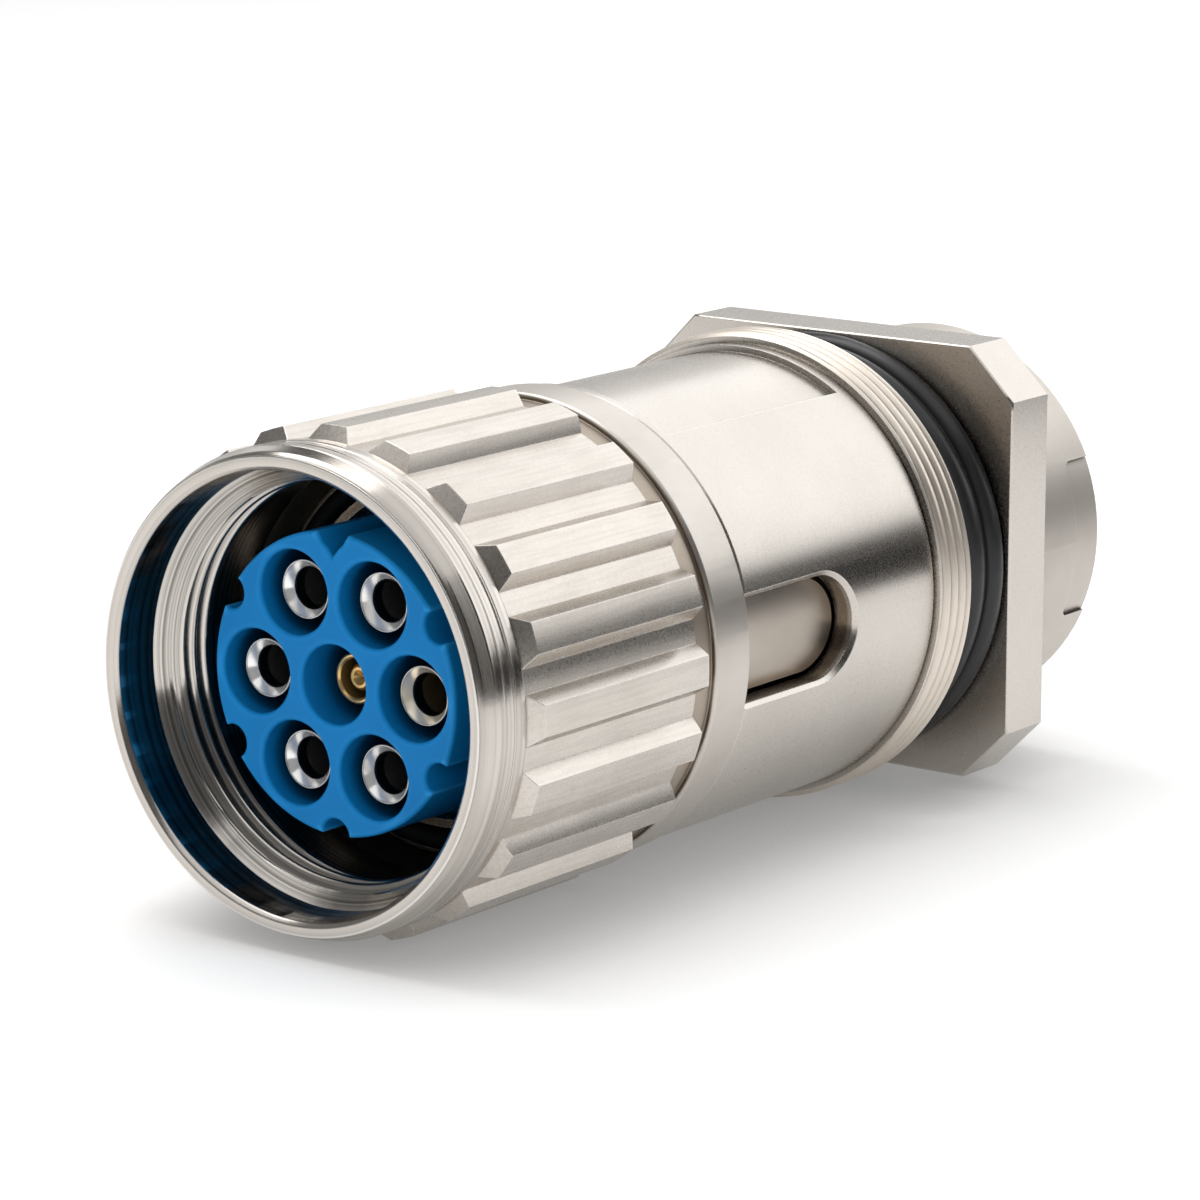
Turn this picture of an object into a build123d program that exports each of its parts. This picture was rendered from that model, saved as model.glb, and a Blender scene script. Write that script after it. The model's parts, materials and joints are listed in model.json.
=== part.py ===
from build123d import *
import math
import os

# Circular power connector with a coupling nut, for mounting through a panel from behind.
# The axis is Y and the mating face looks towards -Y. +Z is up. The origin is the centre of the
# flange's front face, which seals against the panel. All sizes are in millimetres.

# Clearances
running_gap = 0.12            # axial play between the coupling nut and the body
running_clearance = 0.07      # radial play of the nut on its spigot
seat_clearance = 0.05         # between fixed pieces that slide together on assembly
cavity_clearance = 0.3        # around pieces that a turning piece must never touch
edge_break = 0.15             # small chamfer on turned edges
over_cut = 1.0                # how far a cutter runs on past the face that it opens
tolerance = 0.01              # for telling whether an edge lies on a surface

# Contacts
contact_count = 6
contact_bore_radius = 1.18
contact_bore_depth = 11.0
contact_wall = 0.47
contact_rim_wall = 0.09           # at the mouth of the entry
contact_entry_depth = 1.0         # of the tapered entry
contact_entry_taper = 0.24        # by which the entry narrows
contact_rim_chamfer = 0.1
contact_recess = 1.05             # from the insert's face to the contact's rim
contact_collar_height = 0.45      # of the collar that the insert traps
contact_collar_length = 1.5
barrel_step = 0.15                # from the contact's radius down to its barrel
barrel_length = 20.0
cup_wall = 0.45                   # of the solder cup at the barrel's end
cup_depth = 4.5
centre_sleeve_bore = 1.12
centre_sleeve_wall = 0.3
centre_sleeve_recess = 1.9
centre_pin_radius = 0.72
centre_pin_recess = 0.3           # from the centre sleeve's rim to the pin's tip
centre_pin_dimple = 0.42          # radius of the countersink in the pin's tip
centre_head_length = 3.0

# Insert
insert_recess = 3.8               # from the coupling nut's rim to the insert's face
insert_flange_length = 3.45
insert_rear_length = 11.4
insert_joint_gap = 0.05
lock_plate_thickness = 1.3
contact_well_gap = 0.7            # round each contact
contact_well_depth = 8.2
centre_well_gap = 0.78            # round the centre sleeve
centre_well_depth = 5.4
well_web = 0.9                    # between the centre well and the others
insert_edge = 0.57                # thinnest wall between a well and the insert's side
well_edge = 0.22                  # radius of the wells' edges
well_edge_share = 0.42            # most of a thin wall that one edge's radius may take
notch_radius = 0.95
notch_count = 6
notch_length = 9.0
key_half_width = 1.2
key_depth = 1.35
insert_seal_section = 0.55
insert_seal_groove = 1.75

# Body with its front spigot
insert_moat = 0.83                # open ring between the insert and the spigot's lip
spigot_lip_height = 0.8
spigot_lip_length = 1.5
spigot_wall = 1.33
spigot_length = 10.9
ring_groove_depth = 0.58
ring_width = 1.1
ring_proud = 0.52                 # of the retaining ring above the spigot
ring_gap_width = 2.2
brake_ring_section = 0.34         # section radius of the friction ring
brake_ring_place = 2.9            # from the body's front face to the friction ring
mating_seal_section = 0.58
mating_seal_inset = 0.98          # from the spigot's skin to the seal's centre line
body_length = 18.6
body_wall = 1.45
body_shoulder = 1.4

# Marking field, sunk into the top of the body round one window
field_depth = 0.4
field_low_angle = 58.0            # from +X towards +Z
field_high_angle = 150.0
field_front = 0.75
field_rear = 1.0

# Windows round the front of the body, and the sleeve inside it
window_count = 3
window_width = 6.05
window_length = 10.4
window_bevel = 0.28
window_gap = 0.3
window_floor = 0.45               # how far the sleeve lies below its tongues
sleeve_collar = 0.9

# Coupling nut, inside
thread_step = 0.15                # from the rear bore out to the coupling thread
coupling_thread_length = 7.2
mouth_step = 0.65                 # from the thread out to the mouth
mouth_depth = 3.0
nut_step = 0.6                    # length of the sloped steps between the bores
nut_shoulder_length = 5.4         # rear bore that runs on the spigot

# Coupling nut, outside
nut_wall = 1.1                    # between the rear cavity and the relief groove
nose_length = 3.6
lip_length = 1.1
lip_step = 0.12                   # from the nose down to the lip
lip_chamfer = 0.25
nose_step = 0.08                  # from the floor of the flutes down to the nose
nose_groove_depth = 0.47
nose_groove_width = 0.35
nose_line_depth = 0.12
nose_line_width = 0.15
nose_line_place = 2.55
rib_proud = 0.85                  # of the ribs above the relief groove
rib_length = 15.1
rib_height = 0.6
rib_count = 20
rib_crest_angle = 7.0
rib_flank_angle = 2.75
rib_front_slope = 0.6
relief_width = 1.4
collar_proud = 0.4                # of the collar above the relief groove
collar_width = 3.2
collar_step = 0.15                # from the collar down to the body

# Flange housing
panel_thread_proud = 0.05         # of the panel thread above the nut's ribs, which pass the hole first
panel_thread_length = 3.0
thread_chamfer = 0.35
neck_depth = 1.95
neck_length = 5.6
flange_inset = 0.95               # from the panel thread in to the flange's sides; its corners reach beyond
flange_corner = 3.1
flange_thickness = 4.0
flange_break = 0.2
housing_spigot_length = 4.6
hub_wall = 0.85
hub_gap = 0.67                    # between the hub's end and the ring nut's wall
shell_seal_section = 0.4
shell_seal_place = 0.9            # from the body's rear face to the seal

# Panel seal with two beads
panel_seal_length = 3.2
panel_seal_inset = 0.05           # from the flange's sides in to the rear bead
panel_seal_taper = 0.25           # from the rear bead down to the front one
panel_seal_bead = 0.78
panel_seal_groove = 0.4           # between the beads, below the front one

# Rear ring nut, spacer tube and spring washer
ring_nut_length = 8.4
ring_nut_skirt = 1.1
ring_nut_wall = 1.5
ring_nut_lap = 0.25               # of the nut's wall over the spacer tube's end
ring_nut_chamfer = 0.4
ring_nut_recess_length = 3.0      # of the two shallow spanner recesses, open at the rear
ring_nut_recess_half_width = 4.85
ring_nut_recess_depth = 0.25
ring_nut_recess_corner = 0.6
spacer_wall = 0.7
washer_thickness = 0.35
washer_dish = 0.2
washer_width = 0.7

# Radii of the contacts and the insert
contact_radius = contact_bore_radius + contact_wall
contact_collar_radius = contact_radius + contact_collar_height
barrel_radius = contact_radius - barrel_step
cup_radius = barrel_radius - cup_wall
contact_well_radius = contact_radius + contact_well_gap
centre_sleeve_radius = centre_sleeve_bore + centre_sleeve_wall
centre_well_radius = centre_sleeve_radius + centre_well_gap
contact_circle_radius = centre_well_radius + well_web + contact_well_radius
insert_radius = contact_circle_radius + contact_well_radius + insert_edge

# Radii of the spigot and the coupling nut
spigot_lip_radius = insert_radius + insert_moat
spigot_bore_radius = spigot_lip_radius + spigot_lip_height
insert_flange_radius = spigot_bore_radius - seat_clearance
spigot_radius = spigot_bore_radius + spigot_wall
mating_seal_radius = spigot_radius - mating_seal_inset
nut_bore_radius = spigot_radius + running_clearance
coupling_thread_radius = nut_bore_radius + thread_step
mouth_radius = coupling_thread_radius + mouth_step
retaining_ring_radius = spigot_radius + ring_proud
nut_cavity_radius = retaining_ring_radius + cavity_clearance
relief_radius = nut_cavity_radius + nut_wall
collar_radius = relief_radius + collar_proud
rib_radius = relief_radius + rib_proud
nose_radius = rib_radius - rib_height - nose_step
nose_groove_radius = nose_radius - nose_groove_depth
lip_radius = nose_radius - lip_step

# Radii of the body, its sleeve and the housing
body_radius = collar_radius - collar_step
body_bore_radius = body_radius - body_wall
sleeve_collar_radius = body_bore_radius - seat_clearance
sleeve_radius = sleeve_collar_radius - window_floor + seat_clearance
housing_spigot_radius = body_bore_radius - seat_clearance
housing_bore_radius = spigot_bore_radius + seat_clearance
panel_thread_radius = rib_radius + panel_thread_proud
neck_radius = panel_thread_radius - neck_depth
flange_half_side = panel_thread_radius - flange_inset
panel_seal_rear_radius = flange_half_side - panel_seal_inset
panel_seal_front_radius = panel_seal_rear_radius - panel_seal_taper
hub_radius = housing_bore_radius + hub_wall
ring_nut_thread_radius = hub_radius + seat_clearance
ring_nut_radius = ring_nut_thread_radius + ring_nut_skirt
ring_nut_bore = insert_flange_radius - spacer_wall - ring_nut_lap

# Places along the axis, from the flange's front face forwards
y_neck = -neck_length
y_body_rear = y_neck - panel_thread_length
y_housing_spigot = y_body_rear - housing_spigot_length
y_body_front = y_body_rear - body_length
y_shoulder = y_body_front + body_shoulder
y_sleeve = y_shoulder + seat_clearance
y_sleeve_rear = y_housing_spigot - edge_break
y_spigot = y_body_front - spigot_length
y_spigot_lip = y_spigot + spigot_lip_length
y_nut_rear = y_body_front - running_gap
y_nut_shoulder = y_nut_rear - nut_shoulder_length
y_retaining_ring = y_nut_shoulder - cavity_clearance - ring_width
y_collar = y_nut_rear - collar_width
y_rib_rear = y_collar - relief_width
y_rib_front = y_rib_rear - rib_length
y_rim = y_rib_front - nose_length
y_thread_front = y_rim + mouth_depth
y_thread_rear = y_thread_front + coupling_thread_length
y_insert_face = y_rim + insert_recess
y_insert_flange = y_spigot_lip + insert_joint_gap
y_insert_joint = y_insert_flange + insert_flange_length
y_insert_rear = y_insert_joint + insert_joint_gap + insert_rear_length
y_contact_rim = y_insert_face + contact_recess
y_contact_collar = y_insert_joint - contact_collar_length / 2 + insert_joint_gap / 2
y_barrel = y_contact_collar + contact_collar_length

# Places behind the flange's front face and inside the housing
y_flange_rear = flange_thickness
y_ring_nut = y_flange_rear + running_gap
y_ring_nut_rear = y_ring_nut + ring_nut_length
y_ring_nut_wall = y_ring_nut_rear - ring_nut_wall
y_hub_rear = y_ring_nut_wall - hub_gap
y_washer = y_ring_nut_wall - seat_clearance - washer_thickness - washer_dish
y_lock_plate = y_insert_rear + insert_joint_gap
y_spacer = y_lock_plate + lock_plate_thickness + insert_joint_gap
y_spacer_rear = y_washer - seat_clearance


def turned(*outline):
    """Revolve a closed outline of (radius, y) points about the connector's axis."""
    face = make_face(Polyline(*outline, close=True))
    return revolve(face, axis=Axis.Y)


def ring(inner, outer, y0, y1):
    """Plain tube between two stations."""
    return turned((inner, y0), (outer, y0), (outer, y1), (inner, y1))


def prism(sketch, y0, y1):
    """Extrude a sketch, drawn as seen from the mating face, between two stations."""
    plane = Plane(origin=(0, y1, 0), x_dir=(1, 0, 0), z_dir=(0, -1, 0))
    return extrude(plane * sketch, amount=y1 - y0)


def around(shape, angle):
    """Turn a shape about the axis, from +X towards +Z."""
    return Rot(0, -angle, 0) * shape


def o_ring(radius, section, y):
    """Round-section ring centred on the axis."""
    face = Pos(radius, y) * Circle(section)
    return revolve(Plane.XY * face, axis=Axis.Y)


def polar(radius, angle):
    """Point on a circle, as seen from the mating face."""
    return (radius * math.cos(math.radians(angle)), radius * math.sin(math.radians(angle)))


def contact_angles():
    return [360.0 / contact_count * i for i in range(contact_count)]


def contact_holes(radius, y0, y1):
    """Holes on the contact circle and at the centre."""
    sketch = Circle(radius)
    for angle in contact_angles():
        sketch += Pos(*polar(contact_circle_radius, angle)) * Circle(radius)
    return prism(sketch, y0, y1)


def coupling_nut():
    """Turned nut with nose rings, milled flutes between its ribs and a plain collar."""
    groove_end = y_rim + lip_length + nose_groove_width
    line = y_rim + nose_line_place
    line_radius = nose_radius - nose_line_depth
    blank = turned(
        (mouth_radius, y_rim + edge_break),
        (mouth_radius + edge_break, y_rim),
        (lip_radius - lip_chamfer, y_rim),
        (lip_radius, y_rim + lip_chamfer),
        (lip_radius, y_rim + lip_length),
        (nose_groove_radius, y_rim + lip_length),
        (nose_groove_radius, groove_end),
        (nose_radius, groove_end),
        (nose_radius, line),
        (line_radius, line),
        (line_radius, line + nose_line_width),
        (nose_radius, line + nose_line_width),
        (nose_radius, y_rib_front - edge_break),
        (nose_radius - edge_break, y_rib_front),
        (rib_radius, y_rib_front + rib_front_slope),
        (rib_radius, y_rib_rear),
        (relief_radius, y_rib_rear),
        (relief_radius, y_collar),
        (collar_radius - edge_break, y_collar),
        (collar_radius, y_collar + edge_break),
        (collar_radius, y_nut_rear - edge_break),
        (collar_radius - edge_break, y_nut_rear),
        (nut_bore_radius + edge_break, y_nut_rear),
        (nut_bore_radius, y_nut_rear - edge_break),
        (nut_bore_radius, y_nut_shoulder),
        (nut_cavity_radius, y_nut_shoulder),
        (nut_cavity_radius, y_thread_rear + nut_step),
        (coupling_thread_radius, y_thread_rear),
        (coupling_thread_radius, y_thread_front + nut_step),
        (mouth_radius, y_thread_front),
    )
    floor_radius = rib_radius - rib_height
    pitch = 360.0 / rib_count
    floor_half = pitch / 2 - rib_crest_angle / 2 - rib_flank_angle
    top_half = pitch / 2 - rib_crest_angle / 2
    low = polar(floor_radius, floor_half)
    high = polar(rib_radius, top_half)
    reach = 2.0                   # carries the flute's flanks on past the crest
    far = (high[0] + (high[0] - low[0]) * reach, high[1] + (high[1] - low[1]) * reach)
    flute = make_face(Polyline((low[0], -low[1]), low, far, (far[0], -far[1]), close=True))
    cutter = prism(flute, y_rib_front, y_rib_rear + relief_width / 2)
    cutters = [around(cutter, pitch * (i + 0.5)) for i in range(rib_count)]
    return blank - cutters


def nut_retaining_ring():
    """Open spring ring in the spigot's groove, which keeps the nut on the body."""
    inner = spigot_radius - ring_groove_depth + seat_clearance
    closed = ring(inner, retaining_ring_radius, y_retaining_ring, y_retaining_ring + ring_width)
    gap = Pos(0, y_retaining_ring + ring_width / 2, -spigot_radius) * Box(
        ring_gap_width, 2 * ring_width, spigot_radius)
    return closed - gap


def window_outline(inset):
    """Slot that is open to the body's front face and rounded at the rear, in the YZ plane."""
    half = window_width / 2 - inset
    centre = y_body_front + window_length - window_width / 2
    front = y_body_front - over_cut if inset == 0 else y_body_front + running_gap
    slot = Pos((front + centre) / 2, 0) * Rectangle(centre - front, 2 * half)
    return slot + Pos(centre, 0) * Circle(half)


def window_block(inset, inner, outer):
    """The window's outline as a solid between two radii, at +X."""
    plane = Plane(origin=(0, 0, 0), x_dir=(0, 1, 0), z_dir=(1, 0, 0))
    block = extrude(plane * window_outline(inset), amount=outer + over_cut)
    return block & ring(inner, outer, y_spigot, y_body_rear)


def at_windows(shape):
    return [around(shape, 360.0 / window_count * i) for i in range(window_count)]


def shell_body():
    """Turned body with a front spigot, three windows and a marking field on top."""
    spring_groove = spigot_radius - ring_groove_depth
    brake_groove = spigot_radius - 2 * brake_ring_section - seat_clearance
    brake_half = brake_ring_section + seat_clearance
    y_brake = y_body_front - brake_ring_place
    seal_half = mating_seal_section + seat_clearance
    blank = turned(
        (spigot_lip_radius, y_spigot),
        (mating_seal_radius - seal_half, y_spigot),
        (mating_seal_radius - seal_half, y_spigot + mating_seal_section),
        (mating_seal_radius + seal_half, y_spigot + mating_seal_section),
        (mating_seal_radius + seal_half, y_spigot),
        (spigot_radius - edge_break, y_spigot),
        (spigot_radius, y_spigot + edge_break),
        (spigot_radius, y_retaining_ring - seat_clearance),
        (spring_groove, y_retaining_ring - seat_clearance),
        (spring_groove, y_retaining_ring + ring_width + seat_clearance),
        (spigot_radius, y_retaining_ring + ring_width + seat_clearance),
        (spigot_radius, y_brake - brake_half),
        (brake_groove, y_brake - brake_half),
        (brake_groove, y_brake + brake_half),
        (spigot_radius, y_brake + brake_half),
        (spigot_radius, y_body_front),
        (body_radius - edge_break, y_body_front),
        (body_radius, y_body_front + edge_break),
        (body_radius, y_body_rear - edge_break),
        (body_radius - edge_break, y_body_rear),
        (body_bore_radius, y_body_rear),
        (body_bore_radius, y_shoulder),
        (spigot_bore_radius, y_shoulder),
        (spigot_bore_radius, y_spigot_lip),
        (spigot_lip_radius, y_spigot_lip),
    )
    body = blank - at_windows(window_block(0, sleeve_radius, body_radius + over_cut))
    rim = [edge for edge in body.edges() if on_window_rim(edge)]
    body = chamfer(rim, window_bevel)
    reach = 2 * body_radius
    angles = [field_low_angle, (field_low_angle + field_high_angle) / 2, field_high_angle]
    wedge = make_face(Polyline((0, 0), *[polar(reach, angle) for angle in angles], close=True))
    y0 = y_body_front + field_front
    y1 = y_body_rear - field_rear
    return body - (prism(wedge, y0, y1) & ring(body_radius - field_depth, reach, y0, y1))


def on_window_rim(edge):
    """True for the outer edges of the windows, which lie on the body's skin between its ends."""
    middle = edge @ 0.5
    on_skin = abs(math.hypot(middle.X, middle.Z) - body_radius) < tolerance
    return on_skin and y_body_front + edge_break < middle.Y < y_body_rear - 2 * edge_break


def window_sleeve():
    """Sleeve inside the body, with a raised tongue in each window."""
    tube = turned(
        (spigot_bore_radius, y_sleeve),
        (sleeve_radius - seat_clearance, y_sleeve),
        (sleeve_radius - seat_clearance, y_sleeve_rear - sleeve_collar),
        (sleeve_collar_radius, y_sleeve_rear - sleeve_collar),
        (sleeve_collar_radius, y_sleeve_rear),
        (spigot_bore_radius, y_sleeve_rear),
    )
    tongue = window_block(window_gap, sleeve_radius - 2 * seat_clearance, sleeve_collar_radius)
    shoulder = ring(0, sleeve_radius + seat_clearance, y_spigot, y_sleeve)
    return tube + at_windows(tongue - shoulder)


def insert_front():
    """Moulded contact carrier: seven stepped wells, rim notches and a keyway at the top."""
    body = turned(
        (0, y_insert_face),
        (insert_radius, y_insert_face),
        (insert_radius, y_insert_flange),
        (insert_flange_radius, y_insert_flange),
        (insert_flange_radius, y_insert_joint),
        (0, y_insert_joint),
    )
    front = y_insert_face - over_cut
    notch_step = 360.0 / notch_count
    top = insert_radius + key_depth
    notches = make_face(Polyline((0, insert_radius - key_depth), (2 * key_half_width, top),
                                 (-2 * key_half_width, top), close=True))
    for i in range(notch_count):
        notches += Pos(*polar(insert_radius, notch_step * (i + 0.5))) * Circle(notch_radius)
    body -= prism(notches, front, y_insert_face + notch_length)
    body -= prism(Circle(centre_well_radius), front, y_insert_face + centre_well_depth)
    for angle in contact_angles():
        well = Pos(*polar(contact_circle_radius, angle)) * Circle(contact_well_radius)
        body -= prism(well, front, y_insert_face + contact_well_depth)
    face = body.faces().sort_by(Axis.Y)[0]
    body = fillet(face.edges(), min(well_edge, well_edge_share * insert_edge))
    through = prism(Circle(centre_sleeve_radius + seat_clearance), front, y_insert_joint)
    for angle in contact_angles():
        hole = Pos(*polar(contact_circle_radius, angle)) * Circle(contact_radius + seat_clearance)
        through += prism(hole, front, y_insert_joint)
    pockets = contact_holes(contact_collar_radius + seat_clearance, y_contact_collar - seat_clearance,
                            y_insert_joint)
    return body - through - pockets


def insert_rear():
    """Rear half of the carrier, which traps the contacts' collars and holds a seal."""
    y0 = y_insert_joint + insert_joint_gap
    groove = insert_flange_radius - 2 * insert_seal_section
    body = turned(
        (0, y0),
        (groove, y0),
        (groove, y0 + insert_seal_groove),
        (insert_flange_radius, y0 + insert_seal_groove),
        (insert_flange_radius, y_insert_rear),
        (0, y_insert_rear),
    )
    pockets = contact_holes(contact_collar_radius + seat_clearance, y0, y_barrel + seat_clearance)
    return body - pockets - contact_holes(barrel_radius + seat_clearance, y0, y_insert_rear)


def socket_contact():
    """Turned socket with a collar and a solder cup, on the axis."""
    y_end = y_barrel + barrel_length
    y_bore = y_contact_rim + contact_bore_depth
    y_entry = y_contact_rim + contact_entry_depth
    entry_radius = contact_radius - contact_rim_wall
    entry_end_radius = entry_radius - contact_entry_taper
    return turned(
        (contact_bore_radius, y_entry + entry_end_radius - contact_bore_radius),
        (entry_end_radius, y_entry),
        (entry_radius, y_contact_rim),
        (contact_radius - contact_rim_wall / 2, y_contact_rim),
        (contact_radius, y_contact_rim + contact_rim_chamfer),
        (contact_radius, y_contact_collar),
        (contact_collar_radius, y_contact_collar),
        (contact_collar_radius, y_barrel),
        (barrel_radius, y_barrel),
        (barrel_radius, y_end),
        (cup_radius, y_end),
        (cup_radius, y_end - cup_depth),
        (0, y_end - cup_depth),
        (0, y_bore + contact_bore_radius / 2),
        (contact_bore_radius, y_bore),
    )


def centre_sleeve():
    """Gold tube round the centre pin."""
    y0 = y_insert_face + centre_sleeve_recess
    rim = contact_rim_chamfer
    return turned(
        (centre_sleeve_bore + rim, y0),
        (centre_sleeve_radius - rim, y0),
        (centre_sleeve_radius, y0 + rim),
        (centre_sleeve_radius, y_contact_collar - 2 * seat_clearance),
        (centre_sleeve_bore, y_contact_collar - 2 * seat_clearance),
        (centre_sleeve_bore, y0 + rim),
    )


def centre_pin():
    """Centre pin with a countersunk tip, a head that fits its tube, a collar and a solder cup."""
    y_end = y_barrel + barrel_length
    y_tip = y_insert_face + centre_sleeve_recess + centre_pin_recess
    y_head = y_contact_collar - centre_head_length
    head = centre_sleeve_bore - seat_clearance
    tip = (centre_pin_radius - centre_pin_dimple) / 2
    return turned(
        (0, y_tip + centre_pin_dimple),
        (centre_pin_dimple, y_tip),
        (centre_pin_radius - tip, y_tip),
        (centre_pin_radius, y_tip + tip),
        (centre_pin_radius, y_head),
        (head, y_head),
        (head, y_contact_collar),
        (contact_collar_radius, y_contact_collar),
        (contact_collar_radius, y_barrel),
        (barrel_radius, y_barrel),
        (barrel_radius, y_end),
        (cup_radius, y_end),
        (cup_radius, y_end - cup_depth),
        (0, y_end - cup_depth),
    )


def contact_lock_plate():
    """Plate behind the carrier, with a hole for each barrel."""
    y1 = y_lock_plate + lock_plate_thickness
    plate = prism(Circle(insert_flange_radius), y_lock_plate, y1)
    return plate - contact_holes(barrel_radius + seat_clearance, y_lock_plate, y1)


def flange_housing():
    """Square flange with the panel thread and neck in front, a spigot into the body and a rear hub."""
    y_step = y_body_rear + seat_clearance
    y_seal = y_body_rear - shell_seal_place
    seal_half = shell_seal_section + seat_clearance
    groove = housing_spigot_radius - 2 * shell_seal_section
    turned_part = turned(
        (housing_bore_radius, y_housing_spigot),
        (housing_spigot_radius - edge_break, y_housing_spigot),
        (housing_spigot_radius, y_housing_spigot + edge_break),
        (housing_spigot_radius, y_seal - seal_half),
        (groove, y_seal - seal_half),
        (groove, y_seal + seal_half),
        (housing_spigot_radius, y_seal + seal_half),
        (housing_spigot_radius, y_step),
        (panel_thread_radius - thread_chamfer, y_step),
        (panel_thread_radius, y_step + thread_chamfer),
        (panel_thread_radius, y_neck),
        (neck_radius, y_neck),
        (neck_radius, y_flange_rear / 2),
        (hub_radius, y_flange_rear / 2),
        (hub_radius, y_hub_rear - edge_break),
        (hub_radius - edge_break, y_hub_rear),
        (housing_bore_radius, y_hub_rear),
    )
    square = Rectangle(2 * flange_half_side, 2 * flange_half_side)
    square = chamfer(square.vertices(), flange_corner)
    plate = prism(square, 0, y_flange_rear)
    plate = chamfer(plate.faces().sort_by(Axis.Y)[0].edges(), flange_break)
    plate = chamfer(plate.faces().sort_by(Axis.Y)[-1].edges(), flange_break)
    return turned_part + (plate - ring(0, housing_bore_radius, 0, y_flange_rear))


def panel_seal():
    """Moulded rubber ring with two beads, in front of the flange."""
    inner = neck_radius + seat_clearance
    y1 = -seat_clearance
    y0 = y1 - panel_seal_length
    bead = panel_seal_bead
    web_outer = panel_seal_front_radius - panel_seal_groove
    front = Pos(panel_seal_front_radius - bead, y0 + bead) * Circle(bead)
    rear = Pos(panel_seal_rear_radius - bead, y1 - bead) * Circle(bead)
    web = Pos((inner + web_outer) / 2, (y0 + y1) / 2) * Rectangle(web_outer - inner, panel_seal_length)
    beads = revolve(Plane.XY * (front + rear + web), axis=Axis.Y)
    return beads - ring(0, inner, y0, y1)


def rear_ring_nut():
    """Ring nut on the hub, with two shallow spanner recesses at its rear edge."""
    body = turned(
        (ring_nut_thread_radius, y_ring_nut),
        (ring_nut_radius - ring_nut_chamfer / 2, y_ring_nut),
        (ring_nut_radius, y_ring_nut + ring_nut_chamfer / 2),
        (ring_nut_radius, y_ring_nut_rear - ring_nut_chamfer),
        (ring_nut_radius - ring_nut_chamfer, y_ring_nut_rear),
        (ring_nut_bore + ring_nut_chamfer, y_ring_nut_rear),
        (ring_nut_bore, y_ring_nut_rear - ring_nut_chamfer),
        (ring_nut_bore, y_ring_nut_wall),
        (ring_nut_thread_radius, y_ring_nut_wall),
    )
    plane = Plane(origin=(0, 0, 0), x_dir=(0, 1, 0), z_dir=(1, 0, 0))
    length = 2 * ring_nut_recess_length
    outline = Pos(y_ring_nut_rear, 0) * RectangleRounded(length, 2 * ring_nut_recess_half_width,
                                                         ring_nut_recess_corner)
    across = extrude(plane * outline, amount=ring_nut_radius + over_cut, both=True)
    skin = ring(ring_nut_radius - ring_nut_recess_depth, ring_nut_radius + over_cut,
                y_ring_nut, y_ring_nut_rear + over_cut)
    return body - (across & skin)


def spacer_tube():
    """Tube that presses the lock plate and the carrier forwards."""
    outer = insert_flange_radius
    return ring(outer - spacer_wall, outer, y_spacer, y_spacer_rear)


def spring_washer():
    """Dished washer between the spacer tube and the ring nut."""
    outer = insert_flange_radius
    inner = outer - washer_width
    return turned(
        (inner, y_washer),
        (outer, y_washer + washer_dish),
        (outer, y_washer + washer_dish + washer_thickness),
        (inner, y_washer + washer_thickness),
    )


def build():
    """Every piece of the connector, by name."""
    groove_centre = insert_flange_radius - insert_seal_section + seat_clearance / 2
    y_insert_seal = y_insert_joint + insert_joint_gap + insert_seal_groove / 2
    brake_radius = spigot_radius - brake_ring_section
    pieces = {
        "coupling_nut": coupling_nut(),
        "nut_retaining_ring": nut_retaining_ring(),
        "nut_friction_ring": o_ring(brake_radius, brake_ring_section, y_body_front - brake_ring_place),
        "mating_seal": o_ring(mating_seal_radius, mating_seal_section, y_spigot - seat_clearance),
        "shell_body": shell_body(),
        "window_sleeve": window_sleeve(),
        "insert_front": insert_front(),
        "insert_rear": insert_rear(),
        "insert_seal": o_ring(groove_centre, insert_seal_section - seat_clearance / 2, y_insert_seal),
        "centre_sleeve": centre_sleeve(),
        "centre_pin": centre_pin(),
        "contact_lock_plate": contact_lock_plate(),
        "spacer_tube": spacer_tube(),
        "shell_seal": o_ring(housing_spigot_radius - shell_seal_section, shell_seal_section,
                             y_body_rear - shell_seal_place),
        "flange_housing": flange_housing(),
        "panel_seal": panel_seal(),
        "rear_ring_nut": rear_ring_nut(),
        "spring_washer": spring_washer(),
    }
    socket = socket_contact()
    for i, angle in enumerate(contact_angles()):
        x, z = polar(contact_circle_radius, angle)
        pieces[f"socket_contact_{i + 1}"] = Pos(x, 0, z) * socket
    return pieces


def main():
    os.makedirs("parts", exist_ok=True)
    for name, shape in build().items():
        export_step(shape, f"parts/{name}.step")
        print(name, round(shape.volume, 2))


main()
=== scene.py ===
import json
import math
import bpy
import numpy as np
from mathutils import Matrix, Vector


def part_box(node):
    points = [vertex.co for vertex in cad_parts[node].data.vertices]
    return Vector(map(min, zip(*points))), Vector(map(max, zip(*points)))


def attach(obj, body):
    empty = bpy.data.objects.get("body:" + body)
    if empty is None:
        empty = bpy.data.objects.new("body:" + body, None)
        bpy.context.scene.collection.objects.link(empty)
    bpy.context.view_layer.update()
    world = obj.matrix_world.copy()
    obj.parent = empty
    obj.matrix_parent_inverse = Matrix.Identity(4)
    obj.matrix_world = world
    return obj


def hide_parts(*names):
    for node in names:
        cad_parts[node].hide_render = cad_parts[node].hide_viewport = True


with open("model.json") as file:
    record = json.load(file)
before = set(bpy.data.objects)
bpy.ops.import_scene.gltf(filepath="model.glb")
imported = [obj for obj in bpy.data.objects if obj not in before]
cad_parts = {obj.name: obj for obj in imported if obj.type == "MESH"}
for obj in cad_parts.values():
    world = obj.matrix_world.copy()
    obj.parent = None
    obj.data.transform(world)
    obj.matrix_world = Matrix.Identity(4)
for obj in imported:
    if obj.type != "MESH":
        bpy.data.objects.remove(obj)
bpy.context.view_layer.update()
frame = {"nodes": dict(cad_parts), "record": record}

mm = 0.001
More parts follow.
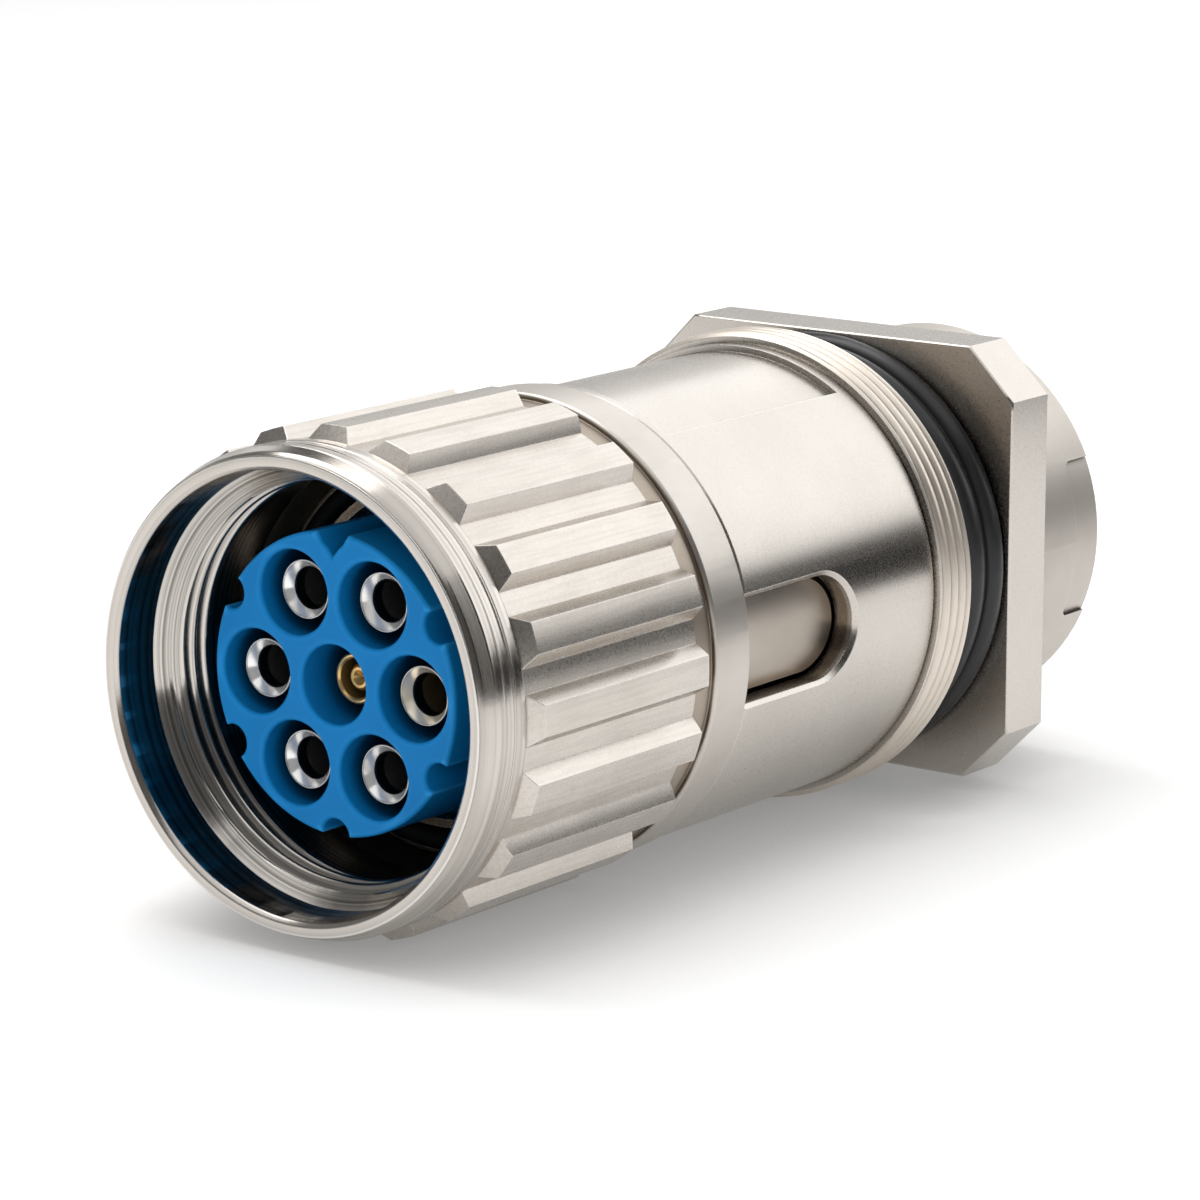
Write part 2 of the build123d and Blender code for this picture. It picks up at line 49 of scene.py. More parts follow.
print("frame loaded:", len(frame["nodes"]), "nodes")


# mesh helpers: whole arrays in, one object out

meshSizes = {
    "sharpAngle": 38,       # degrees from which an edge stays sharp
    "flatWeight": 100,      # pull of large faces on the shading of the small rounds beside them
    "roundSteps": 3,        # straight pieces in a rounding
    "roundShare": 0.45,     # share of a side that a rounding may take
}


def meshObject(name, points, faces, material, smooth=True):
    # points is an (n, 3) array in metres, faces an (m, 3) or (m, 4) array of point numbers
    mesh = bpy.data.meshes.new(name)
    mesh.vertices.add(len(points))
    mesh.vertices.foreach_set("co", np.ascontiguousarray(points, dtype=np.float32).ravel())
    mesh.loops.add(faces.size)
    mesh.loops.foreach_set("vertex_index", faces.astype(np.int32).ravel())
    mesh.polygons.add(len(faces))
    mesh.polygons.foreach_set("loop_start", np.arange(len(faces), dtype=np.int32) * faces.shape[1])
    mesh.polygons.foreach_set("use_smooth", np.full(len(faces), smooth))
    mesh.update(calc_edges=True)
    mesh.validate()
    mesh.materials.append(material)
    piece = bpy.data.objects.new(name, mesh)
    bpy.context.scene.collection.objects.link(piece)
    return piece


def keepFlatsFlat(piece):
    # edges over the angle stay sharp; elsewhere large faces set the shading of the small rounds beside them
    piece.data.set_sharp_from_angle(angle=math.radians(meshSizes["sharpAngle"]))
    weighted = piece.modifiers.new("weighted", "WEIGHTED_NORMAL")
    weighted.keep_sharp = True
    weighted.weight = meshSizes["flatWeight"]


def softOutline(corners):
    # open outline of (y, r, rounding) rows: each inner corner P becomes the curve
    # (1-t)^2 A + 2t(1-t) P + t^2 B, where A lies on the side before P and B on the side after it, each a
    # rounding away from P
    corners = np.array(corners, float)
    place, rounding = corners[1:-1, :2], corners[1:-1, 2]
    before, after = corners[:-2, :2] - place, corners[2:, :2] - place
    lengthBefore, lengthAfter = np.linalg.norm(before, axis=1), np.linalg.norm(after, axis=1)
    share = meshSizes["roundShare"]
    a = place + before * (np.minimum(rounding, share * lengthBefore) / lengthBefore)[:, None]
    b = place + after * (np.minimum(rounding, share * lengthAfter) / lengthAfter)[:, None]
    t = np.linspace(0, 1, meshSizes["roundSteps"] + 1)[None, :, None]
    curve = (1 - t)**2 * a[:, None] + 2 * t * (1 - t) * place[:, None] + t**2 * b[:, None]
    return np.concatenate([corners[:1, :2], curve.reshape(-1, 2), corners[-1:, :2]])


def turnedSurface(y, r, angles, leaning=None):
    # closed surface: row i, column j is the point (r cos a, y, r sin a), and the last row and column join
    # the first. The outline runs to the rear outside and back to the front inside, so faces point outwards.
    points = np.stack([r * np.cos(angles), y + 0 * r, r * np.sin(angles)], axis=2).reshape(-1, 3)
    rows, columns = r.shape
    here = np.arange(rows)[:, None] * columns + np.arange(columns)[None, :]
    below = np.roll(here, -1, axis=0)
    beside = np.roll(here, -1, axis=1)
    across = np.roll(below, -1, axis=1)
    if leaning is None:
        return points, np.stack([here, below, across, beside], axis=2).reshape(-1, 4)
    # each cell is cut along the diagonal that its crease follows
    lean = np.broadcast_to(leaning, here.shape)[..., None, None]
    rising = np.stack([np.stack([here, below, across], 2), np.stack([here, across, beside], 2)], 2)
    falling = np.stack([np.stack([here, below, beside], 2), np.stack([below, across, beside], 2)], 2)
    return points, np.where(lean, rising, falling).reshape(-1, 3)


def threadRidge(y, angles, pitch, power):
    # 1 on the crest and 0 in the root of a right-hand helix: a cosine of the turns gone by, raised to a
    # power, which widens the crest where it is under 1
    turns = y / pitch - angles / (2 * np.pi)
    return (0.5 + 0.5 * np.cos(2 * np.pi * turns))**power


# material helpers: tree is the material's or the world's node tree

def newMaterial(name):
    material = bpy.data.materials.new(name)
    material.use_nodes = True
    return material, material.node_tree, material.node_tree.nodes["Principled BSDF"]


def feed(tree, sockets, inputs):
    # an input is either another node's output, which is linked, or a value, which is set
    for key, value in inputs.items():
        if isinstance(value, bpy.types.NodeSocket):
            tree.links.new(value, sockets[key])
        else:
            sockets[key].default_value = value


def addNode(tree, kind, inputs, **settings):
    # the settings come first, since they decide which inputs a node has
    node = tree.nodes.new(kind)
    for key, value in settings.items():
        setattr(node, key, value)
    feed(tree, node.inputs, inputs)
    return node.outputs


def mapRange(tree, value, low, high, newLow, newHigh):
    limits = {"From Min": low, "From Max": high, "To Min": newLow, "To Max": newHigh}
    return addNode(tree, "ShaderNodeMapRange", {"Value": value, **limits})["Result"]


def mixColours(tree, share, first, second, blend="MIX"):
    # a share of 0 gives the first colour and 1 the second
    inputs = {"Factor": share, "A": first, "B": second}
    return addNode(tree, "ShaderNodeMix", inputs, data_type="RGBA", blend_type=blend)["Result"]


def noise(tree, place, size, detail, dimensions="3D"):
    # grains of about the given size, over a place in the object or, with 1D, along a distance
    inputs = {"W" if dimensions == "1D" else "Vector": place, "Scale": 1 / size, "Detail": detail}
    return addNode(tree, "ShaderNodeTexNoise", inputs, noise_dimensions=dimensions)["Fac"]


def openness(tree, reach, samples, **settings):
    # 1 where nothing stands within the reach, less in corners and gaps
    inputs = {"Distance": reach}
    return addNode(tree, "ShaderNodeAmbientOcclusion", inputs, samples=samples, **settings)["AO"]


def softEdge(tree, radius, samples):
    return addNode(tree, "ShaderNodeBevel", {"Radius": radius}, samples=samples)["Normal"]


def bump(tree, height, strength, depth, normal):
    inputs = {"Height": height, "Strength": strength, "Distance": depth, "Normal": normal}
    return addNode(tree, "ShaderNodeBump", inputs)["Normal"]


def seenDirectly(tree):
    # 1 for the camera, reflections and clear materials, 0 for light that falls on something
    path = addNode(tree, "ShaderNodeLightPath", {})
    seen = path["Is Camera Ray"]
    for ray in ("Is Glossy Ray", "Is Transmission Ray"):
        seen = addNode(tree, "ShaderNodeMath", {0: seen, 1: path[ray]}, operation="MAXIMUM")[0]
    return seen


# plated metals. roughness varies by spread, across is how much rougher the metal is across its turning
# lines than along them, lines and grain are the strengths of two bumps, and edge is the radius of the soft
# edges. crevice says how far away a neighbour paints shade into the metal, towards a dark colour, and the
# openness at which that painted shade is full and at which it ends. bands is the width of darker bands round
# the axis and their shade, streaks the same along the axis. wall is the radius where the painted shade on
# the window walls is full, the radius where it ends, and its brownish colour. metallic under 1 is the chalky
# part of the plating, the edge highlight is how bright the painted highlight on the outer edges is, and
# with ownOnly no other piece paints shade into the metal.
platedLook = {
    "turnedNickel": {
        "colour": (0.60, 0.56, 0.515, 1), "dark": (0.54, 0.50, 0.455, 1), "creviceShade": (0.10, 0.085, 0.07, 1),
        "roughness": 0.21, "spread": 0.02, "across": 0.6, "lines": 0.40, "grain": 0.02, "edge": 0.09 * mm,
        "crevice": (0.6 * mm, 0.35, 0.83), "bands": (0.30 * mm, 0.80)},
    "milledNickel": {
        "colour": (0.63, 0.585, 0.535, 1), "dark": (0.55, 0.505, 0.455, 1), "creviceShade": (0.13, 0.105, 0.082, 1),
        "roughness": 0.29, "spread": 0.03, "across": 0.5, "lines": 0.20, "grain": 0.03, "edge": 0.09 * mm,
        "crevice": (0.45 * mm, 0.30, 0.74), "streaks": (0.20 * mm, 0.93)},
    # a darker, browner copy of the nickel for the relief groove: painted shade
    "grooveNickel": {
        "colour": (0.42, 0.36, 0.30, 1), "dark": (0.34, 0.285, 0.23, 1), "creviceShade": (0.09, 0.068, 0.048, 1),
        "roughness": 0.40, "spread": 0.03, "across": 0.3, "lines": 0.20, "grain": 0.03, "edge": 0.05 * mm,
        "crevice": (0.9 * mm, 0.35, 0.83)},
    "ringNickel": {
        "colour": (0.58, 0.54, 0.495, 1), "dark": (0.50, 0.46, 0.415, 1), "creviceShade": (0.06, 0.05, 0.04, 1),
        "roughness": 0.47, "spread": 0.03, "across": 0.0, "lines": 0.15, "grain": 0.02, "edge": 0.09 * mm,
        "crevice": (0.4 * mm, 0.50, 0.83), "edgeHighlight": 0.3},
    "softNickel": {
        "colour": (0.60, 0.56, 0.515, 1), "dark": (0.53, 0.49, 0.445, 1), "creviceShade": (0.10, 0.085, 0.07, 1),
        "roughness": 0.37, "spread": 0.03, "across": 0.4, "lines": 0.20, "grain": 0.03, "edge": 0.09 * mm,
        "crevice": (0.5 * mm, 0.35, 0.83)},
    "satinNickel": {
        "colour": (0.60, 0.56, 0.515, 1), "dark": (0.55, 0.51, 0.465, 1), "creviceShade": (0.10, 0.085, 0.07, 1),
        "roughness": 0.26, "spread": 0.02, "across": 0.74, "lines": 0.12, "grain": 0.012, "edge": 0.09 * mm,
        "crevice": (0.4 * mm, 0.20, 0.80)},
    "bodyNickel": {
        "colour": (0.60, 0.56, 0.515, 1), "dark": (0.55, 0.51, 0.465, 1), "creviceShade": (0.20, 0.17, 0.14, 1),
        "roughness": 0.26, "spread": 0.02, "across": 0.74, "lines": 0.12, "grain": 0.012, "edge": 0.09 * mm,
        "crevice": (0.7 * mm, 0.30, 0.74), "edgeHighlight": 0.5, "ownOnly": True,
        "wall": (12.85 * mm, 13.05 * mm, (0.30, 0.245, 0.19, 1))},
    # lighter than the satin nickel on the rest of the housing: painted light on the thread
    "threadNickel": {
        "colour": (0.78, 0.71, 0.63, 1), "dark": (0.64, 0.56, 0.48, 1), "creviceShade": (0.18, 0.13, 0.09, 1),
        "roughness": 0.43, "spread": 0.04, "across": 0.0, "lines": 0.12, "grain": 0.03, "edge": 0.05 * mm,
        "crevice": (0.32 * mm, 0.34, 0.83)},
    # darker and browner than the outer nickel: painted shade on the parts inside the body
    "sleeveNickel": {
        "colour": (0.45, 0.40, 0.35, 1), "dark": (0.36, 0.315, 0.27, 1), "creviceShade": (0.06, 0.05, 0.04, 1),
        "roughness": 0.33, "spread": 0.04, "across": 0.4, "lines": 0.15, "grain": 0.08, "edge": 0.04 * mm,
        "crevice": (0.6 * mm, 0.35, 0.83)},
    "mouthNickel": {
        "colour": (0.62, 0.585, 0.54, 1), "dark": (0.56, 0.52, 0.475, 1), "creviceShade": (0.05, 0.06, 0.07, 1),
        "roughness": 0.15, "spread": 0.02, "across": 0.6, "lines": 0.35, "grain": 0.01, "edge": 0.07 * mm,
        "crevice": (0.5 * mm, 0.35, 0.83), "bands": (0.34 * mm, 0.40)},
    "borePaintedShade": {
        "colour": (0.012, 0.020, 0.028, 1), "dark": (0.006, 0.012, 0.018, 1),
        "creviceShade": (0.003, 0.006, 0.010, 1),
        "roughness": 0.30, "spread": 0.03, "across": 0.3, "lines": 0.25, "grain": 0.01, "edge": 0.03 * mm,
        "crevice": (0.8 * mm, 0.30, 0.80), "metallic": 0.9, "edgeHighlight": 0.0},
    "brightSilver": {
        "colour": (0.93, 0.92, 0.90, 1), "dark": (0.80, 0.79, 0.77, 1), "creviceShade": (0.004, 0.010, 0.016, 1),
        "roughness": 0.24, "spread": 0.03, "across": 0.4, "lines": 0.25, "grain": 0.01, "edge": 0.05 * mm,
        "crevice": (2.4 * mm, 0.42, 0.83), "metallic": 0.9},
    "goldenSilver": {
        "colour": (0.88, 0.80, 0.62, 1), "dark": (0.70, 0.58, 0.36, 1), "creviceShade": (0.16, 0.085, 0.016, 1),
        "roughness": 0.24, "spread": 0.03, "across": 0.4, "lines": 0.25, "grain": 0.01, "edge": 0.05 * mm,
        "crevice": (2.4 * mm, 0.42, 0.83), "metallic": 0.9},
    "mouthSilver": {
        "colour": (0.97, 0.96, 0.94, 1), "dark": (0.90, 0.89, 0.87, 1), "creviceShade": (0.20, 0.20, 0.20, 1),
        "roughness": 0.16, "spread": 0.03, "across": 0.3, "lines": 0.35, "grain": 0.01, "edge": 0.04 * mm,
        "crevice": (0.25 * mm, 0.20, 0.70), "metallic": 0.68},
    "mouthGolden": {
        "colour": (0.97, 0.89, 0.74, 1), "dark": (0.88, 0.78, 0.61, 1), "creviceShade": (0.20, 0.16, 0.09, 1),
        "roughness": 0.16, "spread": 0.03, "across": 0.3, "lines": 0.35, "grain": 0.01, "edge": 0.04 * mm,
        "crevice": (0.25 * mm, 0.20, 0.70), "metallic": 0.68},
    "goldPlate": {
        "colour": (0.80, 0.50, 0.15, 1), "dark": (0.66, 0.39, 0.10, 1), "creviceShade": (0.05, 0.025, 0.008, 1),
        "roughness": 0.22, "spread": 0.03, "across": 0.5, "lines": 0.20, "grain": 0.02, "edge": 0.04 * mm,
        "crevice": (1.2 * mm, 0.25, 0.60), "metallic": 0.8},
}
platedBase = {
    "metallic": 1.0, "edgeHighlight": 0.8, "ownOnly": False, "bands": None, "streaks": None, "wall": None,
    "lineSize": 0.20 * mm, "lineDetail": 3.0, "lineDepth": 0.006 * mm,       # turning lines round the axis
    "grainSize": 0.16 * mm, "grainDetail": 2.0, "grainDepth": 0.010 * mm,    # specks of the satin plating
    "grainRange": (0.3, 0.7),                 # noise at the lowest and the highest roughness
    "cloudSize": 4.0 * mm, "cloudDetail": 4.0,                               # patches of darker metal
    "cloudRange": (0.35, 0.60, 0.55, 1.0),    # two values of the noise, and the share of light metal at each
    "bandDetail": 2.0, "bandRange": (0.38, 0.58),    # noise at the darkest and the lightest band or streak
    "streakScale": (1, 0.05, 1),              # streaks are drawn out along the axis
    "rimSize": 0.16 * mm, "edgeHighlightColour": (0.86, 0.84, 0.80, 1),                # painted highlight on the outer edges
    "rimRange": (0.83, 0.50),                 # openness, seen from inside, where the rim starts and is full
    "leastUnshaded": 0.1,                        # share of unshaded metal in the tightest corners, under the painted shade
    "samples": 4,
}


def plated(name):
    # plating on turned brass: fine lines round the axis, specks, a soft edge
    material, tree, shader = newMaterial(name)
    look = {**platedBase, **platedLook[name]}
    place = addNode(tree, "ShaderNodeTexCoord", {})["Object"]
    split = addNode(tree, "ShaderNodeSeparateXYZ", {0: place})
    # the lines go by y less the distance from the axis, so that they run round on flat ends too
    flat = addNode(tree, "ShaderNodeCombineXYZ", {"X": split["X"], "Z": split["Z"]})[0]
    radius = addNode(tree, "ShaderNodeVectorMath", {0: flat}, operation="LENGTH")["Value"]
    along = addNode(tree, "ShaderNodeMath", {0: split["Y"], 1: radius}, operation="SUBTRACT")[0]
    lines = noise(tree, along, look["lineSize"], look["lineDetail"], "1D")
    grain = noise(tree, place, look["grainSize"], look["grainDetail"])
    cloud = noise(tree, place, look["cloudSize"], look["cloudDetail"])
    metal = mixColours(tree, mapRange(tree, cloud, *look["cloudRange"]), look["dark"], look["colour"])
    if look["bands"]:
        # turned metal has darker bands round the axis
        width, shade = look["bands"]
        band = noise(tree, along, width, look["bandDetail"], "1D")
        bands = mapRange(tree, band, *look["bandRange"], shade, 1.0)
        metal = mixColours(tree, 1.0, metal, bands, "MULTIPLY")
    if look["streaks"]:
        # milled metal has darker streaks along the axis
        width, shade = look["streaks"]
        inputs = {"Vector": place, "Scale": look["streakScale"]}
        drawn = addNode(tree, "ShaderNodeMapping", inputs, vector_type="POINT")["Vector"]
        band = noise(tree, drawn, width, look["bandDetail"])
        streaks = mapRange(tree, band, *look["bandRange"], shade, 1.0)
        metal = mixColours(tree, 1.0, metal, streaks, "MULTIPLY")
    if look["wall"]:
        # painted shade: the walls of the windows, nearer to the axis, are darker and browner
        inner, outer, shadedBrown = look["wall"]
        metal = mixColours(tree, mapRange(tree, radius, inner, outer, 0.0, 1.0), shadedBrown, metal)
    # painted highlight on the outer edges: seen from inside, the metal is thin there
    thin = openness(tree, look["rimSize"], look["samples"], inside=True, only_local=True)
    edgeHighlight = mapRange(tree, thin, *look["rimRange"], 0.0, look["edgeHighlight"])
    metal = mixColours(tree, edgeHighlight, metal, look["edgeHighlightColour"])
    # painted shade: corners and narrow gaps darken towards a dark colour
    reach, closed, opened = look["crevice"]
    nearby = openness(tree, reach, look["samples"], only_local=look["ownOnly"])
    unshaded = mapRange(tree, nearby, closed, opened, look["leastUnshaded"], 1.0)
    metal = mixColours(tree, unshaded, look["creviceShade"], metal)
    low, high = look["roughness"] - look["spread"], look["roughness"] + look["spread"]
    normal = softEdge(tree, look["edge"], look["samples"])
    normal = bump(tree, lines, look["lines"], look["lineDepth"], normal)
    normal = bump(tree, grain, look["grain"], look["grainDepth"], normal)
    # highlights stretch across the lines: the surface's normal crossed with the way round the axis
    aside = addNode(tree, "ShaderNodeMath", {0: split["Z"], 1: -1.0}, operation="MULTIPLY")[0]
    wayRound = addNode(tree, "ShaderNodeCombineXYZ", {"X": aside, "Z": split["X"]})[0]
    inWorld = addNode(tree, "ShaderNodeVectorTransform", {0: wayRound}, vector_type="VECTOR",
                      convert_from="OBJECT", convert_to="WORLD")[0]
    unit = addNode(tree, "ShaderNodeVectorMath", {0: inWorld}, operation="NORMALIZE")["Vector"]
    facing = addNode(tree, "ShaderNodeNewGeometry", {})["Normal"]
    inputs = {0: facing, 1: unit}
    across = addNode(tree, "ShaderNodeVectorMath", inputs, operation="CROSS_PRODUCT")["Vector"]
    feed(tree, shader.inputs, {
        "Base Color": metal, "Metallic": look["metallic"], "Anisotropic": look["across"], "Tangent": across,
        "Roughness": mapRange(tree, grain, *look["grainRange"], low, high), "Normal": normal})
    return material


# moulded plastic and rubber: shine is the shader's own specular level, grain the size of the skin's grains
# and skin the strength of their bump; edge is the colour of the painted highlight on rounded edges
mouldedLook = {
    "bluePlastic": {
        "colour": (0.003, 0.190, 0.50, 1), "dark": (0.002, 0.170, 0.46, 1), "edge": (0.03, 0.34, 0.78, 1),
        "roughness": 0.40, "shine": 0.15, "grain": 0.3 * mm, "skin": 0.05},
    "blackRubber": {
        "colour": (0.015, 0.015, 0.016, 1), "dark": (0.010, 0.010, 0.011, 1), "edge": (0.03, 0.03, 0.03, 1),
        "roughness": 0.34, "shine": 0.5, "grain": 0.2 * mm, "skin": 0.12},
    "dullRubber": {
        "colour": (0.009, 0.010, 0.012, 1), "dark": (0.006, 0.007, 0.008, 1),
        "edge": (0.012, 0.012, 0.013, 1), "roughness": 0.6, "shine": 0.1, "grain": 0.2 * mm, "skin": 0.12},
}
mouldedBase = {
    "cloudSize": 5 * mm, "cloudDetail": 2.0, "cloudRange": (0.35, 0.65),    # patches of the darker colour
    "rimSize": 0.45 * mm, "rimRange": (0.83, 0.50),                         # painted highlight on the edges
    "wellReach": 3.0 * mm, "wellRange": (0.25, 0.72), "wellShade": 0.12,    # share of the painted shade in deep wells
    "grainDetail": 3.0, "grainRange": (0.3, 0.7), "spread": 0.05, "skinDepth": 0.01 * mm,
    "edgeRadius": 0.15 * mm, "edgeSamples": 4, "samples": 6,
}


def moulded(name):
    # smooth moulded plastic or rubber with a faint skin, lighter rounded edges as painted highlight, and
    # painted shade in deep wells
    material, tree, shader = newMaterial(name)
    look = {**mouldedBase, **mouldedLook[name]}
    place = addNode(tree, "ShaderNodeTexCoord", {})["Object"]
    cloud = noise(tree, place, look["cloudSize"], look["cloudDetail"])
    light = mapRange(tree, cloud, *look["cloudRange"], 0.0, 1.0)
    tint = mixColours(tree, light, look["dark"], look["colour"])
    # painted highlight: an edge is where the moulding is thin, seen from inside
    thin = openness(tree, look["rimSize"], look["samples"], inside=True, only_local=True)
    tint = mixColours(tree, mapRange(tree, thin, *look["rimRange"], 0.0, 1.0), tint, look["edge"])
    # painted shade: deep wells and corners darken
    nearby = openness(tree, look["wellReach"], look["samples"])
    deep = tuple(look["wellShade"] * value for value in look["dark"][:3]) + (1,)
    tint = mixColours(tree, mapRange(tree, nearby, *look["wellRange"], 0.0, 1.0), deep, tint)
    grain = noise(tree, place, look["grain"], look["grainDetail"])
    low, high = look["roughness"] - look["spread"], look["roughness"] + look["spread"]
    normal = softEdge(tree, look["edgeRadius"], look["edgeSamples"])
    feed(tree, shader.inputs, {
        "Base Color": tint, "Specular IOR Level": look["shine"],
        "Roughness": mapRange(tree, grain, *look["grainRange"], low, high),
        "Normal": bump(tree, grain, look["skin"], look["skinDepth"], normal)})
    return material


materials = {name: plated(name) for name in platedLook}
materials.update({name: moulded(name) for name in mouldedLook})

# the look of each material slot, and of the pieces that have their own
finishes = {
    "nickel_turned": "turnedNickel", "nickel_satin": "satinNickel", "nickel_sleeve": "sleeveNickel",
    "spring_steel": "sleeveNickel", "blue_moulding": "bluePlastic", "black_rubber": "dullRubber",
    "silver_plate": "brightSilver", "gold_plate": "goldPlate",
}
ownFinishes = {
    "panel_seal": "blackRubber", "rear_ring_nut": "ringNickel", "shell_body": "bodyNickel",
    "socket_contact_1": "goldenSilver",
}
for part in frame["record"]["subparts"]:
    mesh = frame["nodes"][part["node"]].data
    mesh.materials.clear()
    mesh.materials.append(materials[ownFinishes.get(part["node"], finishes[part["material_slot"]])])
print("finishes set")


# coupling nut: turned blank, milled flutes, internal thread; lengths in mm, angles in degrees

nutLook = {
    "mouthRadius": 12.2, "mouthDepth": 3.0, "mouthEdge": 0.25,
    "ringRadius": 13.02, "ringBreak": 0.05, "stepDepth": 0.10, "stepFoot": 0.12, "stepEnd": 0.20,
    "coneRadius": 13.17, "coneStart": 0.40, "lipRadius": 13.38, "lipLength": 1.15, "lipStep": 0.04,
    "noseRadius": 13.42, "noseLength": 3.6,
    "linePlaces": (1.75, 2.45, 2.62), "lineDepths": (0.03, 0.07, 0.04), "lineWidth": 0.14,
    "ribRadius": 14.1, "ribHeight": 0.83, "ribLength": 15.1, "ribSlope": 0.6, "ribCount": 20,
    "crestAngle": 7.0, "flankAngle": 2.6, "crestPoints": 5, "flankSteps": 5, "floorPoints": 4,
    "reliefRadius": 13.25, "reliefWidth": 1.4, "collarRadius": 13.65,
    "boreRadius": 11.40, "boreLength": 5.4, "cavityRadius": 12.15, "leadInLength": 0.6,
    "threadRadius": 11.55, "threadLength": 7.2, "threadRows": 112, "threadDepth": 0.58, "threadTurns": 3.6,
    "pitch": 1.0, "crestPower": 0.8, "runOutTurns": 0.5,
    "edge": 0.15, "round": 0.07, "faceRound": 0.05, "lineRound": 0.03,
    "mouthRows": 3, "grooveRows": 5,     # rows of the outline that take the mouth's and the groove's finish
}


def ribColumns(look):
    # angles of the columns: each rib has its crest, a flank, the flute's floor and the next rib's flank. With
    # them the radius that the flutes leave, straight from crest to floor, and which columns rise again.
    count, crestHalf, ribPitch = look["ribCount"], look["crestAngle"] / 2, 360 / look["ribCount"]
    foot = crestHalf + look["flankAngle"]
    flank = look["flankAngle"] * np.linspace(0, 1, look["flankSteps"] + 1)
    turn = np.concatenate([
        np.linspace(-crestHalf, crestHalf, look["crestPoints"]), crestHalf + flank[1:],
        np.linspace(foot, ribPitch - foot, look["floorPoints"])[1:], ribPitch - crestHalf - flank[-2:0:-1]])
    level = np.interp(turn, [crestHalf, foot, ribPitch - foot, ribPitch - crestHalf], [1, 0, 0, 1])
    angles = np.radians((np.arange(count)[:, None] * ribPitch + turn).ravel())
    cap = look["ribRadius"] - look["ribHeight"] * (1 - np.tile(level, count))
    return angles, cap, np.tile(turn > ribPitch / 2, count)


def nutFront(look, rim, threadFront, ribFront):
    # from the mouth's wall round the flat ring, fine step, cone and lip to the nose with its turned lines
    mouth, ring, nose = look["mouthRadius"], look["ringRadius"], look["noseRadius"]
    face, fine, mouthEdge = look["faceRound"], look["lineRound"], look["mouthEdge"]
    lip = rim + look["lipLength"]
    outline = [
        (threadFront, mouth, 0), (rim + mouthEdge, mouth, face), (rim, mouth + mouthEdge, face),
        (rim, ring - look["ringBreak"], face), (rim + look["ringBreak"], ring, fine),
        (rim + look["stepFoot"], ring - look["stepDepth"], fine), (rim + look["stepEnd"], ring, fine),
        (rim + look["coneStart"], look["coneRadius"], face), (lip, look["lipRadius"], look["lipStep"]),
        (lip + look["lipStep"], nose, fine)]
    for offset, depth in zip(look["linePlaces"], look["lineDepths"]):
        start, width = rim + offset, look["lineWidth"]
        outline += [
            (start, nose, fine), (start + width / 2, nose - depth, fine), (start + width, nose, fine)]
    edge = look["edge"]
    return softOutline(outline + [(ribFront - edge, nose, look["round"]), (ribFront, nose - edge, 0)])


def nutBack(look, ribRear, rear, threadRear):
    # from the relief groove over the collar to the bore, and through the cavity back to the thread
    edge, soft, collar, bore = look["edge"], look["round"], look["collarRadius"], look["boreRadius"]
    collarFront = ribRear + look["reliefWidth"]
    shoulder = rear - look["boreLength"]
    return softOutline([
        (ribRear, look["reliefRadius"], 0), (collarFront, look["reliefRadius"], soft),
        (collarFront, collar - edge, soft), (collarFront + edge, collar, soft),
        (rear - edge, collar, soft), (rear, collar - edge, soft), (rear, bore + edge, soft),
        (rear - edge, bore, soft), (shoulder, bore, soft), (shoulder, look["cavityRadius"], soft),
        (threadRear + look["leadInLength"], look["cavityRadius"], soft),
        (threadRear, look["threadRadius"], 0)])


